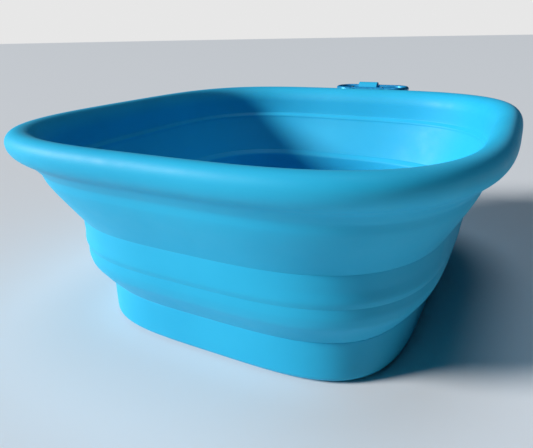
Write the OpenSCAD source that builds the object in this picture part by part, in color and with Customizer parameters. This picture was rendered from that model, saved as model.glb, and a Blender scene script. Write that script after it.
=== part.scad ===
// Collapsible silicone basin: three stiff rings joined by two thin folding webs,
// with a hang tab on the rim and a small sprung clip in the tab's eye.
// Origin at the centre of the base underside, +Z up, +Y towards the hang tab.

/* [Basin] */
// Outside width of the rim, flat side to flat side
rim_w = 180; // [170:1:195]
// Height of the rim above the base underside
basin_h = 78.6; // [78:0.2:83]
// Squareness of the plan at the rim: 2 is round, more is squarer
rim_square = 3.5; // [3:0.1:4]
// Squareness of the plan at the middle ring
mid_square = 3.25; // [3:0.05:3.6]
// Squareness of the plan at the base
base_square = 4.1; // [3.6:0.1:4.6]

/* [Rim] */
// Half width of the rolled bead below its widest line
bead_w = 7.4; // [6:0.2:8]
// Distance from the rim's outer side to the crest of the bead
crest = 4; // [3.4:0.2:6]
// Height of the bead above its widest line
bead_up = 4.2; // [3.6:0.2:5]
// Depth of the bead below its widest line
bead_down = 6.8; // [6:0.2:8]
// Inset of the rim ring's inner edge at the bottom
rim_inner = 12.4; // [12:0.2:13]
// Height of the rim ring's lower edge
rim_low = 62.2; // [60.6:0.1:63]

/* [Middle ring] */
// Inset of the middle ring's outer wall
mid_inset = 17.5; // [16.5:0.1:18.5]
// Wall thickness of the middle ring
mid_wall = 4; // [3:0.2:4.6]
// Height of the middle ring's lower edge
mid_low = 32.4; // [31.4:0.2:33.4]
// Height of the middle ring's upper edge
mid_high = 43.8; // [42.4:0.2:45.2]

/* [Base] */
// Inset of the base band at its upper edge
base_inset = 26.4; // [25.6:0.1:27]
// Wall thickness of the base band
base_wall = 4; // [3:0.2:5]
// Height of the base band's upper edge
base_high = 15.8; // [14.8:0.1:16.8]
// Radius of the rounding along the base's lower edge
base_round = 3; // [2:0.5:6]
// Thickness of the floor
floor_t = 3; // [2:0.2:4]

/* [Folding webs] */
// Thickness of each web at its lower hinge, where it is thinnest
web_t = 1.8; // [1.2:0.1:2.2]
// Thickness of the lower web at its upper edge
lower_web_top = 3.1; // [2.4:0.1:3.4]
// Step inward from a ring's wall to the web below it
web_step = 0.9; // [0.5:0.1:1.3]

/* [Hang tab] */
// Distance of the tab's middle from the middle of its side
tab_x = 3; // [0:1:12]
// Tab width where it leaves the rim
tab_root_w = 34; // [28:1:34]
// Tab width at its outer end
tab_end_w = 18; // [17:0.5:19]
// Tab thickness
tab_t = 3; // [2.4:0.2:4]
// Length of the eye that holds the clip
eye_l = 11; // [9:1:15]

/* [Clip] */
// How far the clip has slid along the eye
clip_shift = 4.5; // [0:0.5:4.5]
// Diameter of the clip's bar
bar_d = 2.6; // [2.4:0.1:2.8]
// Straight length of the clip's sides
side_l = 24; // [24:0.5:26]
// Radius of the clip's end bends, to the bar's centre line
bend_r = 8; // [8:0.5:9]
// Diameter of the gate's pins
pin_d = 0.9; // [0.7:0.1:1]

/* [Hidden] */

half_w = rim_w / 2;
seg = 72;                    // sides of each swept ring
arc_n = 5;                   // points along a rounded edge
fine = 48;                   // sides of round bars and bores
edge = 0.9;                  // rounding of the rings' free edges
silicone = "deepskyblue";

bead_z = basin_h - bead_up;
shoulder = 8;                // height of the rim's inner shoulder
shoulder_inset = 10.6;       // inset of the inner wall just below the shoulder
neck = [5, bead_z - bead_down];
wall_inset = 7.3;            // inset of the rim ring's outer wall at its lower edge
rim_wall_low = rim_inner - wall_inset - web_step;   // wall left at the rim ring's lower edge
foot_inset = 0.8;            // slope of the base band between its upper edge and its foot
floor_blend = 4;             // reach of the rounding between the base wall and the floor
mid_z = (mid_low + mid_high) / 2;

eye_y = half_w + 17;         // clip axis behind the rim
eye_z = basin_h - 0.8;
eye_r = 2.7;                 // outer radius of the eye
eye_gap = 0.3;               // clearance round the bar
tab_top = eye_z - bar_d / 2 - 0.4;

bar_r = bar_d / 2;
gate_y = eye_y - 2 * bend_r;
clip_x = tab_x + clip_shift;
pivot_x = clip_x - side_l / 2 + 3;
nose_x = clip_x + side_l / 2 - 3;
latch_x = nose_x - 0.9;
tongue_t = 1;                // flat tongues inside the gate's forks
tongue_in = 0.2;             // how far a tongue stays inside the bar's outline
nose_back = 1.1;             // reach of the nose tongue past the latch pin
fork_gap = 1.3;              // slot of each fork
joint_gap = 0.3;             // end gaps at the gate
pin_gap = 0.05;              // clearance of the gate's bore round the pivot pin
notch_gap = 0.1;             // clearance of the latch pin in the nose's notch
pin_head = 0.25;             // height and overhang of a pin's head
pin_r = pin_d / 2;
spring_r = 0.45;             // radius to the spring's wire centre
spring_wire = 0.11;          // radius of the spring's wire
spring_l = 4.6;
spring_turns = 7;

// Squareness of the plan at a height, straight between its three stated values
function square_at(z) = z < mid_z
    ? base_square + (mid_square - base_square) * z / mid_z
    : mid_square + (rim_square - mid_square) * (z - mid_z) / (basin_h - mid_z);

// Point of the plan outline at an inset and a height, in the direction a
function plan_point(inset, z, a) =
    let (n = square_at(z),
         r = (half_w - inset) * pow(pow(abs(cos(a)), n) + pow(abs(sin(a)), n), -1 / n))
    [r * cos(a), r * sin(a), z];

// Quarter-turn points: inset grows inward, so angle 0 faces outward and 90 faces up
function edge_arc(inset, z, r_in, r_up, a0, a1) = [for (i = [0:arc_n])
    let (a = a0 + (a1 - a0) * i / arc_n) [inset - r_in * cos(a), z + r_up * sin(a)]];

// A web's inner side, its thickness straight between its two ends, which keep their heights
function inner_side(line, top_t, low_t) = let (last = len(line) - 1) [for (i = [last:-1:0])
    let (a = line[max(i - 1, 0)], b = line[min(i + 1, last)], d = (b - a) / norm(b - a),
         t = low_t + (top_t - low_t) * (line[i][1] - line[last][1]) / (line[0][1] - line[last][1]))
    i == 0 || i == last ? [line[i][0] + t, line[i][1]] : line[i] + t * [-d[1], d[0]]];

function ring_points(profile) = [for (p = profile, j = [0:seg - 1])
    plan_point(p[0], p[1], 360 * j / seg)];

function side_faces(rows, closed) = [for (i = [0:rows - (closed ? 1 : 2)], j = [0:seg - 1], k = [0, 1])
    let (a = i * seg, b = ((i + 1) % rows) * seg, j2 = (j + 1) % seg)
    k == 0 ? [a + j, b + j, b + j2] : [a + j, b + j2, a + j2]];

// A closed profile of [inset, height] points swept round the plan
module ring(profile) {
    polyhedron(ring_points(profile), side_faces(len(profile), true), convexity = 6);
}

// A profile from underside to floor, closed by flat faces across the middle
module cup(profile) {
    rows = len(profile);
    under = [for (j = [0:seg - 1]) j];
    top = [for (j = [seg - 1:-1:0]) (rows - 1) * seg + j];
    polyhedron(ring_points(profile), concat([under], side_faces(rows, false), [top]), convexity = 6);
}

// Outer sides of the two webs, from the upper hinge to the lower one
lower_web_line = [[mid_inset + web_step, mid_low], [mid_inset + web_step + 0.1, mid_low - 3],
                  [mid_inset + web_step + 0.6, mid_low - 5.4], [mid_inset + 3.2, mid_low - 8.6],
                  [mid_inset + 5.9, base_high + 4], [base_inset, base_high]];

upper_web_line = [[wall_inset + web_step, rim_low], [wall_inset + web_step + 0.1, rim_low - 2],
                  [wall_inset + 1.9, rim_low - 4.2], [wall_inset + 4.6, rim_low - 7.9],
                  [mid_inset - 2.8, mid_high + 5], [mid_inset, mid_high]];

// Base band and floor in one moulding
module base_cup() {
    inner = base_inset + base_wall;
    color(silicone) cup(concat(
        edge_arc(base_inset + foot_inset + base_round, base_round, base_round, base_round, -90, 0),
        [[base_inset + 0.2, base_high - 3], [base_inset, base_high], [inner - edge, base_high]],
        [[inner, base_high - edge], [inner + 0.4, floor_t + floor_blend]],
        [[inner + 1.4, floor_t + 1.4], [inner + floor_blend, floor_t]]));
}

// Thin web between the base and the middle ring
module lower_web() {
    color(silicone) ring(concat(lower_web_line, inner_side(lower_web_line, lower_web_top, web_t)));
}

// Stiff middle ring
module middle_ring() {
    inner = mid_inset + mid_wall;
    color(silicone) ring(concat(
        [[mid_inset, mid_high], [inner - edge, mid_high], [inner, mid_high - edge]],
        [[inner, mid_low], [mid_inset + web_step, mid_low]],
        [[mid_inset + 0.4, mid_low + 0.6], [mid_inset, mid_low + 2.2]]));
}

// Thin web between the middle ring and the rim
module upper_web() {
    color(silicone) ring(concat(upper_web_line, inner_side(upper_web_line, rim_wall_low, web_t)));
}

// Rolled rim bead with the stiff wall below it
module upper_ring() {
    color(silicone) ring(concat(
        [[wall_inset + web_step, rim_low], [wall_inset, rim_low + 0.8]],
        [[wall_inset - 1, rim_low + 3.6], neck],
        edge_arc(bead_w, bead_z, bead_w, bead_down, -68, 0),
        edge_arc(crest, bead_z, crest, bead_up, 18, 90),
        edge_arc(crest, basin_h - shoulder, crest - shoulder_inset, shoulder, 72, 0),
        [[rim_inner, rim_low]]));
}

// Flat tab behind the rim, with the eye that the clip turns in
module hang_tab() {
    root = half_w - 5;               // the root is buried in the rim bead
    step_y = half_w + 3;             // where the sides start to narrow
    step_x = tab_root_w / 2 - 0.6;
    corner = 2.5;
    corner_x = tab_end_w / 2 - corner;
    corner_y = eye_y + eye_r - corner;
    outline = concat(
        [[-tab_root_w / 2, root], [tab_root_w / 2, root], [step_x, step_y]],
        [for (a = [0:15:90]) [corner_x + corner * cos(a), corner_y + corner * sin(a)]],
        [for (a = [90:15:180]) [corner * cos(a) - corner_x, corner_y + corner * sin(a)]],
        [[-step_x, step_y]]);
    color(silicone) translate([tab_x, 0, 0]) difference() {
        union() {
            translate([0, 0, tab_top - tab_t]) linear_extrude(tab_t) polygon(outline);
            translate([-eye_l / 2, eye_y - eye_r, tab_top - tab_t / 2])
                cube([eye_l, 2 * eye_r, eye_z - tab_top + tab_t / 2]);
            translate([-eye_l / 2, eye_y, eye_z]) rotate([0, 90, 0])
                cylinder(h = eye_l, r = eye_r, $fn = fine);
        }
        translate([-eye_l, eye_y, eye_z]) rotate([0, 90, 0])
            cylinder(h = 2 * eye_l, r = bar_r + eye_gap, $fn = fine);
    }
}

// A length of round bar along X from x0 to x1 at the given y
module bar(x0, x1, y) {
    translate([x0, y, eye_z]) rotate([0, 90, 0]) cylinder(h = x1 - x0, r = bar_r, $fn = fine);
}

// Half-round bend of the bar: side is -1 at the left end and 1 at the right end
module bend(side) {
    translate([clip_x + side * side_l / 2, eye_y - bend_r, eye_z]) rotate([0, 0, side * -90])
        rotate_extrude(angle = 180, $fn = fine) translate([bend_r, 0]) circle(r = bar_r, $fn = fine);
}

// Open loop of bar with a pivot tongue and a notched nose where the gate fits
module clip_frame() {
    left = clip_x - side_l / 2;
    right = clip_x + side_l / 2;
    stub = pivot_x - bar_r - joint_gap;
    color(silicone) difference() {
        union() {
            bar(left, right, eye_y);
            bend(-1);
            bend(1);
            bar(left, stub, gate_y);
            bar(nose_x + joint_gap, right, gate_y);
            translate([stub - tongue_in, gate_y - bar_r + tongue_in, eye_z - tongue_t / 2])
                cube([pivot_x - stub + tongue_in, bar_d - 2 * tongue_in, tongue_t]);
            translate([pivot_x, gate_y, eye_z - tongue_t / 2])
                cylinder(h = tongue_t, r = bar_r - tongue_in, $fn = fine);
            translate([latch_x - nose_back, gate_y - bar_r + tongue_in, eye_z - tongue_t / 2])
                cube([nose_x + joint_gap - latch_x + nose_back + tongue_in, bar_r + 0.5, tongue_t]);
        }
        translate([pivot_x, gate_y, eye_z - tongue_t])
            cylinder(h = 2 * tongue_t, r = pin_r, $fn = fine);
        translate([latch_x, gate_y, eye_z - tongue_t])
            cylinder(h = 2 * tongue_t, r = pin_r + notch_gap, $fn = fine);
        translate([latch_x - pin_r - notch_gap, gate_y, eye_z - tongue_t])
            cube([pin_d + 2 * notch_gap, bar_d, 2 * tongue_t]);
    }
}

// Gate bar, forked at both ends, rounded about the pivot, with a bore for its spring
module clip_gate() {
    fork_l = bar_r + joint_gap;
    color(silicone) difference() {
        union() {
            bar(pivot_x, nose_x, gate_y);
            intersection() {
                bar(pivot_x - bar_r, pivot_x + 1, gate_y);
                translate([pivot_x, gate_y, eye_z - bar_r]) cylinder(h = bar_d, r = bar_r, $fn = fine);
            }
        }
        translate([pivot_x - bar_d, gate_y - bar_d, eye_z - fork_gap / 2])
            cube([bar_d + fork_l, 2 * bar_d, fork_gap]);
        translate([latch_x - nose_back - joint_gap, gate_y - bar_d, eye_z - fork_gap / 2])
            cube([bar_d + nose_back + joint_gap, 2 * bar_d, fork_gap]);
        translate([pivot_x, gate_y, eye_z]) rotate([0, 90, 0])
            cylinder(h = fork_l + spring_l + 0.2, r = spring_r + spring_wire + 0.06, $fn = fine);
        translate([pivot_x, gate_y, eye_z - bar_d])
            cylinder(h = 2 * bar_d, r = pin_r + pin_gap, $fn = fine);
        translate([latch_x, gate_y, eye_z - bar_d]) cylinder(h = 2 * bar_d, r = pin_r, $fn = fine);
    }
}

// Headed pin through the gate at x
module gate_pin(x) {
    color("silver") translate([x, gate_y, eye_z]) {
        translate([0, 0, -bar_r]) cylinder(h = bar_d, r = pin_r, $fn = fine);
        for (side = [-1, 1])
            translate([0, 0, side * (bar_r + pin_head / 2)])
                cylinder(h = pin_head, r = pin_r + pin_head, center = true, $fn = fine);
    }
}

module gate_pivot_pin() { gate_pin(pivot_x); }

module gate_latch_pin() { gate_pin(latch_x); }

// Compression spring in the gate's bore, a helix of round wire along X
module gate_spring() {
    sides = 6;
    steps = spring_turns * 10;
    start = pivot_x + bar_r + joint_gap + 0.1 + spring_wire;
    points = [for (i = [0:steps], j = [0:sides - 1])
        let (turn = 36 * i, a = 360 * j / sides, r = spring_r + spring_wire * cos(a))
        [start + (spring_l - 4 * spring_wire) * i / steps + spring_wire * sin(a),
         gate_y + r * cos(turn), eye_z + r * sin(turn)]];
    walls = [for (i = [0:steps - 1], j = [0:sides - 1], k = [0, 1])
        let (a = i * sides, b = a + sides, j2 = (j + 1) % sides)
        k == 0 ? [a + j, b + j2, b + j] : [a + j, a + j2, b + j2]];
    first = [for (j = [sides - 1:-1:0]) j];
    last = [for (j = [0:sides - 1]) steps * sides + j];
    color("silver") polyhedron(points, concat([first], walls, [last]), convexity = 8);
}

base_cup();
lower_web();
middle_ring();
upper_web();
upper_ring();
hang_tab();
clip_frame();
clip_gate();
gate_pivot_pin();
gate_latch_pin();
gate_spring();
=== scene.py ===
import math

import bmesh
import bpy
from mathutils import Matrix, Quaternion, Vector


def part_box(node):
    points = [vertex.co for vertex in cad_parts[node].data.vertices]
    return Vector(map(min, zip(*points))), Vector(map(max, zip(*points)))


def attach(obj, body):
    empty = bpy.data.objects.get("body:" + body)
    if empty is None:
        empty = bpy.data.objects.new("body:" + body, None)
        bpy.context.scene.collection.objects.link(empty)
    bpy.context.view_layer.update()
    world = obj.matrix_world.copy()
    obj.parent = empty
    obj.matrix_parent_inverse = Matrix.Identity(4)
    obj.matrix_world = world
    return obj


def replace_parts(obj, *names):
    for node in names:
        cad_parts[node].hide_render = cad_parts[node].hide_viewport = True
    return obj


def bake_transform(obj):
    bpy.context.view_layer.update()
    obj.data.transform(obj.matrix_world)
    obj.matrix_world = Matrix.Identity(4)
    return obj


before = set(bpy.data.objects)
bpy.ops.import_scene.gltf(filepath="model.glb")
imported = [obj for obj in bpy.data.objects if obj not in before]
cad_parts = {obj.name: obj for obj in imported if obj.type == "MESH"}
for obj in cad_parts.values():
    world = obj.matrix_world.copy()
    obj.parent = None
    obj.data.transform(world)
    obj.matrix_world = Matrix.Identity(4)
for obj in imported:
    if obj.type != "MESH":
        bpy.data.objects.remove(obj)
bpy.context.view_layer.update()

# ---------------------------------------------------------------- sizes
MM = 0.001                         # lengths are in millimetres until a piece is made
RIM_LOW, RIM_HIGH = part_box("upper_ring")
MID_LOW, MID_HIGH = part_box("middle_ring")
BASE_LOW, BASE_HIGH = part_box("base_cup")

HALF = RIM_HIGH.x / MM
TOP = RIM_HIGH.z / MM
RIM_EDGE = RIM_LOW.z / MM
MID_TOP = MID_HIGH.z / MM
MID_BOTTOM = MID_LOW.z / MM
BASE_TOP = BASE_HIGH.z / MM
MID_INSET = HALF - MID_HIGH.x / MM
BASE_INSET = 26.4                  # insets are measured inward from the rim's outer side
WALL_INSET, RIM_INNER = 7.3, 12.4  # the rim wall's two sides at its lower edge
SHOULDER_INSET, SHOULDER = 10.6, 8.0
CREST, BEAD_UP = 4.0, 4.2          # the bead's crest, inward of and above its widest line
BEAD_WIDE, BEAD_DOWN = 7.4, 6.8    # half axes of the bead below its widest line
RING_WALL, FLOOR, FOOT_RECESS = 4.0, 3.0, 0.9
BASE_CORNER, FOOT_DRAFT = 3.0, 0.8
RIM_SQUARE, MID_SQUARE, BASE_SQUARE = 3.5, 3.25, 4.1
WEB, LOWER_WEB_TOP = 1.8, 3.1      # web thickness, and the lower web's at its upper edge
STEP = 0.9                         # step inward from a ring's wall to the web below it
AROUND = 288                       # points round each swept ring


# ---------------------------------------------------------------- swept shapes
def square_at(z):
    """Squareness of the plan at a height, as in the CAD model."""
    middle = (MID_BOTTOM + MID_TOP) / 2
    if z < middle:
        return BASE_SQUARE + (MID_SQUARE - BASE_SQUARE) * z / middle
    return MID_SQUARE + (RIM_SQUARE - MID_SQUARE) * (z - middle) / (TOP - middle)


def plan_point(inset, z, angle):
    """Point of the plan outline at an inset and a height, in metres."""
    n = square_at(z)
    c, s = math.cos(angle), math.sin(angle)
    r = (HALF - inset) * (abs(c) ** n + abs(s) ** n) ** (-1 / n)
    return Vector((r * c, r * s, z)) * MM


def arc(inset, z, across, up, start, end, steps=14):
    """Quarter-turn points: angle 0 faces outward, 90 faces up."""
    out = []
    for i in range(steps + 1):
        a = math.radians(start + (end - start) * i / steps)
        out.append((inset - across * math.cos(a), z + up * math.sin(a)))
    return out


def rounded(corners, closed=True, steps=6):
    """(inset, height, trim) corners as one line, each corner rounded back by its trim."""
    line = []
    count = len(corners)
    for i, (x, z, trim) in enumerate(corners):
        here = Vector((x, z))
        if trim == 0 or (not closed and i in (0, count - 1)):
            line.append(tuple(here))
            continue
        before = Vector(corners[i - 1][:2]) - here
        after = Vector(corners[(i + 1) % count][:2]) - here
        a = here + before.normalized() * min(trim, before.length * 0.48)
        b = here + after.normalized() * min(trim, after.length * 0.48)
        for k in range(steps + 1):
            t = k / steps
            line.append(tuple(a * (1 - t) ** 2 + here * 2 * t * (1 - t) + b * t ** 2))
    return line


def evened(line, spacing, closed=True):
    """The same line with extra points, so that no gap is longer than the spacing."""
    out = []
    pairs = list(zip(line, line[1:] + line[:1])) if closed else list(zip(line, line[1:]))
    for a, b in pairs:
        a, b = Vector(a), Vector(b)
        parts = max(1, math.ceil((b - a).length / spacing))
        out += [tuple(a.lerp(b, k / parts)) for k in range(parts)]
    if not closed:
        out.append(tuple(line[-1]))
    return out


def sweep(name, line, closed=True, capped=False):
    """A line of (inset, height) points swept round the plan, as a smooth mesh."""
    bm = bmesh.new()
    rows = []
    for inset, z in line:
        rows.append([bm.verts.new(plan_point(inset, z, math.tau * j / AROUND)) for j in range(AROUND)])
    for i in range(len(rows) if closed else len(rows) - 1):
        a, b = rows[i], rows[(i + 1) % len(rows)]
        for j in range(AROUND):
            k = (j + 1) % AROUND
            bm.faces.new((a[j], a[k], b[k], b[j]))
    if capped:
        for row in (rows[0], rows[-1]):
            disc(bm, row)
    bmesh.ops.recalc_face_normals(bm, faces=bm.faces)
    return finished(name, bm)


def disc(bm, row, rings=9):
    """Fills a row with rings that shrink to its middle, so that the face stays smooth."""
    middle = sum((v.co for v in row), Vector()) / len(row)
    outer = row
    for i in range(1, rings):
        share = 1 - i / rings
        inner = [bm.verts.new(middle + (v.co - middle) * share) for v in row]
        for j in range(len(row)):
            k = (j + 1) % len(row)
            bm.faces.new((outer[j], outer[k], inner[k], inner[j]))
        outer = inner
    hub = bm.verts.new(middle)
    for j in range(len(row)):
        bm.faces.new((outer[j], outer[(j + 1) % len(row)], hub))


def finished(name, bm):
    """The mesh as a linked object, smooth apart from its real corners."""
    mesh = bpy.data.meshes.new(name)
    bm.to_mesh(mesh)
    bm.free()
    mesh.shade_smooth()
    mesh.set_sharp_from_angle(angle=math.radians(40))
    piece = bpy.data.objects.new(name, mesh)
    bpy.context.scene.collection.objects.link(piece)
    return piece


# ---------------------------------------------------------------- materials
def node_material(name):
    material = bpy.data.materials.new(name)
    material.use_nodes = True
    tree = material.node_tree
    return material, tree, tree.nodes["Principled BSDF"]


def add(tree, kind, **settings):
    made = tree.nodes.new(kind)
    for key, value in settings.items():
        if key in made.inputs:
            made.inputs[key].default_value = value
        else:
            setattr(made, key, value)
    return made


def ramp(tree, source, low, high, start=0.3, end=0.7):
    """Colour ramp from low to high over a source value."""
    made = tree.nodes.new("ShaderNodeValToRGB")
    made.color_ramp.elements[0].position = start
    made.color_ramp.elements[1].position = end
    made.color_ramp.elements[0].color = low
    made.color_ramp.elements[1].color = high
    tree.links.new(source, made.inputs["Fac"])
    return made.outputs["Color"]


def silicone():
    """Matte moulded silicone: fine grain, slow swells and a softly clouded colour."""
    material, tree, shader = node_material("silicone")
    place = add(tree, "ShaderNodeTexCoord").outputs["Object"]

    def noise(scale, detail=3.0, rough=0.55):
        made = add(tree, "ShaderNodeTexNoise", Scale=scale, Detail=detail, Roughness=rough)
        tree.links.new(place, made.inputs["Vector"])
        return made.outputs["Fac"]

    cloud = ramp(tree, noise(26.0), (0.017, 0.46, 0.75, 1), (0.024, 0.50, 0.79, 1))
    tree.links.new(cloud, shader.inputs["Base Color"])
    satin = ramp(tree, noise(160.0), (0.50, 0.50, 0.50, 1), (0.60, 0.60, 0.60, 1))
    tree.links.new(satin, shader.inputs["Roughness"])
    grain = add(tree, "ShaderNodeBump", Strength=0.10, Distance=0.0001)
    tree.links.new(noise(2600.0, 2.0), grain.inputs["Height"])
    swell = add(tree, "ShaderNodeBump", Strength=0.12, Distance=0.0006)
    tree.links.new(noise(70.0, 2.0), swell.inputs["Height"])
    tree.links.new(grain.outputs["Normal"], swell.inputs["Normal"])
    tree.links.new(swell.outputs["Normal"], shader.inputs["Normal"])
    shader.inputs["Specular IOR Level"].default_value = 0.24
    shader.inputs["Sheen Weight"].default_value = 0.03
    shader.inputs["Sheen Roughness"].default_value = 0.5
    shader.inputs["Subsurface Weight"].default_value = 0.05
    shader.inputs["Subsurface Radius"].default_value = (0.2, 0.6, 1.0)
    shader.inputs["Subsurface Scale"].default_value = 0.002
    return material


def coated_metal():
    """Blue coated clip metal, finely mottled in colour and gloss."""
    material, tree, shader = node_material("clip_coating")
    place = add(tree, "ShaderNodeTexCoord").outputs["Object"]
    speck = add(tree, "ShaderNodeTexNoise", Scale=900.0, Detail=4.0)
    tree.links.new(place, speck.inputs["Vector"])
    colour = ramp(tree, speck.outputs["Fac"], (0.016, 0.30, 0.62, 1), (0.03, 0.38, 0.72, 1))
    tree.links.new(colour, shader.inputs["Base Color"])
    tree.links.new(ramp(tree, speck.outputs["Fac"], (0.26,) * 3 + (1,), (0.40,) * 3 + (1,)),
                   shader.inputs["Roughness"])
    shader.inputs["Metallic"].default_value = 0.35
    return material


def pin_steel():
    """Drawn steel of the pins and the spring, finely mottled in colour and gloss."""
    material, tree, shader = node_material("pin_steel")
    place = add(tree, "ShaderNodeTexCoord").outputs["Object"]
    marks = add(tree, "ShaderNodeTexNoise", Scale=4000.0, Detail=2.0)
    tree.links.new(place, marks.inputs["Vector"])
    tree.links.new(ramp(tree, marks.outputs["Fac"], (0.22,) * 3 + (1,), (0.42,) * 3 + (1,)),
                   shader.inputs["Roughness"])
    tree.links.new(ramp(tree, marks.outputs["Fac"], (0.50, 0.52, 0.54, 1), (0.66, 0.67, 0.68, 1)),
                   shader.inputs["Base Color"])
    shader.inputs["Metallic"].default_value = 1.0
    return material


SILICONE, COATING, STEEL = silicone(), coated_metal(), pin_steel()


def dress(piece, material):
    """Gives a piece its material."""
    piece.data.materials.clear()
    piece.data.materials.append(material)
    return piece


# ---------------------------------------------------------------- the moulded basin
def rim_line():
    """Rolled bead with a broad gently sloping top, and the wall below it."""
    widest = TOP - BEAD_UP
    outer = [(WALL_INSET + STEP, RIM_EDGE, 0), (WALL_INSET + 0.5, RIM_EDGE + 1.4, 1.3),
             (WALL_INSET - 0.5, RIM_EDGE + 2.8, 1.3), (5.3, widest - 7.3, 1.8)]
    line = rounded([(WALL_INSET + 2, RIM_EDGE, 0)] + outer + [(2.8, widest - 5.4, 0)], closed=False)
    line += arc(BEAD_WIDE, widest, BEAD_WIDE, BEAD_DOWN, -50, 0)
    line += arc(CREST, widest, CREST, BEAD_UP, 4, 90)
    line += arc(CREST, TOP - SHOULDER, CREST - SHOULDER_INSET, SHOULDER, 86, 0)
    line += rounded([(RIM_INNER - 1.6, RIM_EDGE + 3.4, 0), (RIM_INNER - 1.5, RIM_EDGE + 2.0, 0.3),
                     (RIM_INNER - 0.1, RIM_EDGE + 0.6, 0.3), (RIM_INNER, RIM_EDGE, 0),
                     (WALL_INSET + 2.2, RIM_EDGE, 0)], closed=False)
    return evened(line, 0.9)


def web_line(outer, top_t, low_t):
    """Thin web: the outer side's corners, and the same side moved in by a thickness that tapers."""
    inner = []
    top, low = outer[0][1], outer[-1][1]
    for i in range(len(outer) - 1, -1, -1):
        x, z, trim = outer[i]
        thick = low_t + (top_t - low_t) * (z - low) / (top - low)
        if i in (0, len(outer) - 1):
            inner.append((x + thick, z, 0))
            continue
        a, b = Vector(outer[i - 1][:2]), Vector(outer[i + 1][:2])
        d = (b - a).normalized()
        inner.append((x - d.y * thick, z + d.x * thick, trim))
    line = rounded(outer, closed=False) + rounded(inner, closed=False)
    return evened(line, 0.8)


def upper_web_line():
    """Web from the rim wall down to the middle ring."""
    return web_line([(WALL_INSET + STEP, RIM_EDGE, 0), (WALL_INSET + STEP + 0.5, RIM_EDGE - 2.0, 1.6),
                     (10.6, RIM_EDGE - 6, 1.8), (14.7, MID_TOP + 5, 2.4), (MID_INSET, MID_TOP, 0)],
                    RIM_INNER - WALL_INSET - STEP, WEB)


def lower_web_line():
    """Web from the middle ring down to the base band."""
    return web_line([(MID_INSET + STEP, MID_BOTTOM, 0), (MID_INSET + STEP + 0.1, MID_BOTTOM - 3.4, 1.2),
                     (MID_INSET + 2.0, MID_BOTTOM - 7, 1.5), (MID_INSET + 5.7, BASE_TOP + 4.2, 2.0),
                     (BASE_INSET, BASE_TOP, 0)], LOWER_WEB_TOP, WEB)


def middle_line():
    """Stiff middle ring, with a sloping ledge along its inner top."""
    inner = MID_INSET + RING_WALL
    return evened(rounded([
        (MID_INSET, MID_TOP, 0.1), (MID_INSET + WEB, MID_TOP, 0.1),
        (MID_INSET + WEB + 0.4, MID_TOP - 0.2, 0.2),
        (inner, MID_TOP - 2.0, 0.7), (inner, MID_BOTTOM, 0.2),
        (MID_INSET + STEP, MID_BOTTOM, 0), (MID_INSET + 0.5, MID_BOTTOM + 0.9, 0.9),
        (MID_INSET, MID_BOTTOM + 2.4, 1.6)]), 0.8)


def base_line():
    """Base band and floor, from the middle of the underside round to the middle of the floor."""
    inner = BASE_INSET + RING_WALL
    foot = BASE_INSET + FOOT_DRAFT + BASE_CORNER
    line = [(HALF - 8, FOOT_RECESS), (foot + 6.4, FOOT_RECESS), (foot + 5.2, 0.0)]
    line += arc(foot, BASE_CORNER, BASE_CORNER, BASE_CORNER, -90, 0)
    line += rounded([(BASE_INSET + 0.7, BASE_CORNER + 1, 0), (BASE_INSET, BASE_TOP, 0.3),
                     (inner, BASE_TOP, 0.8), (inner + 0.3, 9, 1.0), (inner + 1.2, FLOOR, 4.0),
                     (inner + 8, FLOOR, 0)], closed=False)
    return evened(line + [(HALF - 8, FLOOR)], 1.2, closed=False)


def basin():
    """Three rings that ride with their bodies, and two webs between them."""
    rim = sweep("rim_bead_and_wall", rim_line())
    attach(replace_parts(dress(rim, SILICONE), "upper_ring"), "rim")
    middle = sweep("middle_band", middle_line())
    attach(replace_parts(dress(middle, SILICONE), "middle_ring"), "middle")
    base = sweep("base_band_and_floor", base_line(), closed=False, capped=True)
    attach(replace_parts(dress(base, SILICONE), "base_cup"), "base")
    upper = sweep("upper_fold_web", upper_web_line())
    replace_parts(dress(upper, SILICONE), "upper_web")
    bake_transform(upper)
    lower = sweep("lower_fold_web", lower_web_line())
    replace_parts(dress(lower, SILICONE), "lower_web")
    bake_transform(lower)


# ---------------------------------------------------------------- carried-over CAD pieces
def carried():
    """Tab, clip, pins and spring keep their CAD meshes, with materials and softened edges."""
    looks = ((SILICONE, "silicone", ("hang_tab",)),
             (COATING, "clip_metal", ("clip_frame", "clip_gate")),
             (STEEL, "pin_steel", ("gate_pivot_pin", "gate_latch_pin", "gate_spring")))
    for material, slot, names in looks:
        for name in names:
            dress(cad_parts[name], material)
    for name, width in (("hang_tab", 0.7), ("clip_frame", 0.12), ("clip_gate", 0.12)):
        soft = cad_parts[name].modifiers.new("soft_edges", "BEVEL")
        soft.width = width * MM
        soft.segments = 3
        soft.limit_method = "ANGLE"
        soft.angle_limit = math.radians(40)


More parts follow.
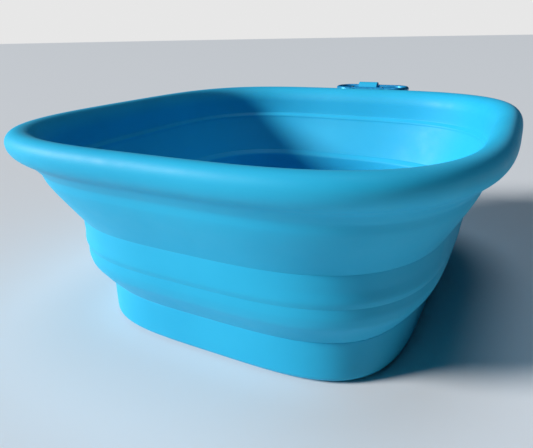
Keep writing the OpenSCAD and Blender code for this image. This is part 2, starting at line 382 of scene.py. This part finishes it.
# ---------------------------------------------------------------- studio
def studio():
    """Pale floor, a low soft key from the left, a weak overhead light and a white backdrop."""
    pale = bpy.data.materials.new("pale_floor")
    pale.use_nodes = True
    shader = pale.node_tree.nodes["Principled BSDF"]
    shader.inputs["Base Color"].default_value = (0.84, 0.84, 0.85, 1)
    shader.inputs["Roughness"].default_value = 0.9
    bm = bmesh.new()
    bmesh.ops.create_circle(bm, cap_ends=True, radius=20, segments=96)
    bmesh.ops.translate(bm, verts=bm.verts, vec=(0, 0, -0.0002))
    floor = finished("floor", bm)
    floor.data.shade_flat()
    floor.data.materials.append(pale)

    sun = bpy.data.lights.new("key", "SUN")
    sun.energy = 4.3
    sun.angle = math.radians(15)
    key = bpy.data.objects.new("key", sun)
    key.rotation_mode = "QUATERNION"
    key.rotation_quaternion = Vector((-0.76, -0.52, 0.40)).to_track_quat("Z", "Y")
    bpy.context.scene.collection.objects.link(key)

    soft = bpy.data.lights.new("overhead", "SUN")
    soft.energy = 0.6
    soft.angle = math.radians(25)
    soft.color = (0.6, 0.8, 1.0)
    overhead = bpy.data.objects.new("overhead", soft)
    bpy.context.scene.collection.objects.link(overhead)

    world = bpy.data.worlds.new("studio")
    world.use_nodes = True
    tree = world.node_tree
    fill = tree.nodes["Background"]
    fill.inputs["Color"].default_value = (0.50, 0.72, 1.0, 1)
    fill.inputs["Strength"].default_value = 0.006
    backdrop = tree.nodes.new("ShaderNodeBackground")
    seen = tree.nodes.new("ShaderNodeLightPath")
    mix = tree.nodes.new("ShaderNodeMixShader")
    tree.links.new(seen.outputs["Is Camera Ray"], mix.inputs[0])
    tree.links.new(fill.outputs[0], mix.inputs[1])
    tree.links.new(backdrop.outputs[0], mix.inputs[2])
    tree.links.new(mix.outputs[0], tree.nodes["World Output"].inputs["Surface"])
    bpy.context.scene.world = world
    bpy.context.scene.view_settings.view_transform = "Standard"


def camera():
    """A close camera, a little to the right of the basin's middle and above its rim."""
    azimuth, elevation, roll = math.radians(26.76), math.radians(17.78), math.radians(-1.01)
    back = Vector((math.sin(azimuth) * math.cos(elevation), -math.cos(azimuth) * math.cos(elevation),
                   math.sin(elevation)))
    target = Vector((0, 0, (TOP - 35) * MM))
    distance = 2.3385 * HALF * MM
    data = bpy.data.cameras.new("camera")
    data.sensor_width = 36
    data.lens = 32.34
    data.shift_x = -0.0373
    data.shift_y = -0.0651
    data.clip_start = 0.01
    data.clip_end = 50
    holder = bpy.data.objects.new("camera", data)
    holder.rotation_mode = "QUATERNION"
    holder.location = target + back * distance
    holder.rotation_quaternion = (-back).to_track_quat("-Z", "Y") @ Quaternion((0, 0, 1), roll)
    bpy.context.scene.collection.objects.link(holder)
    bpy.context.scene.camera = holder


camera()
studio()
basin()
carried()
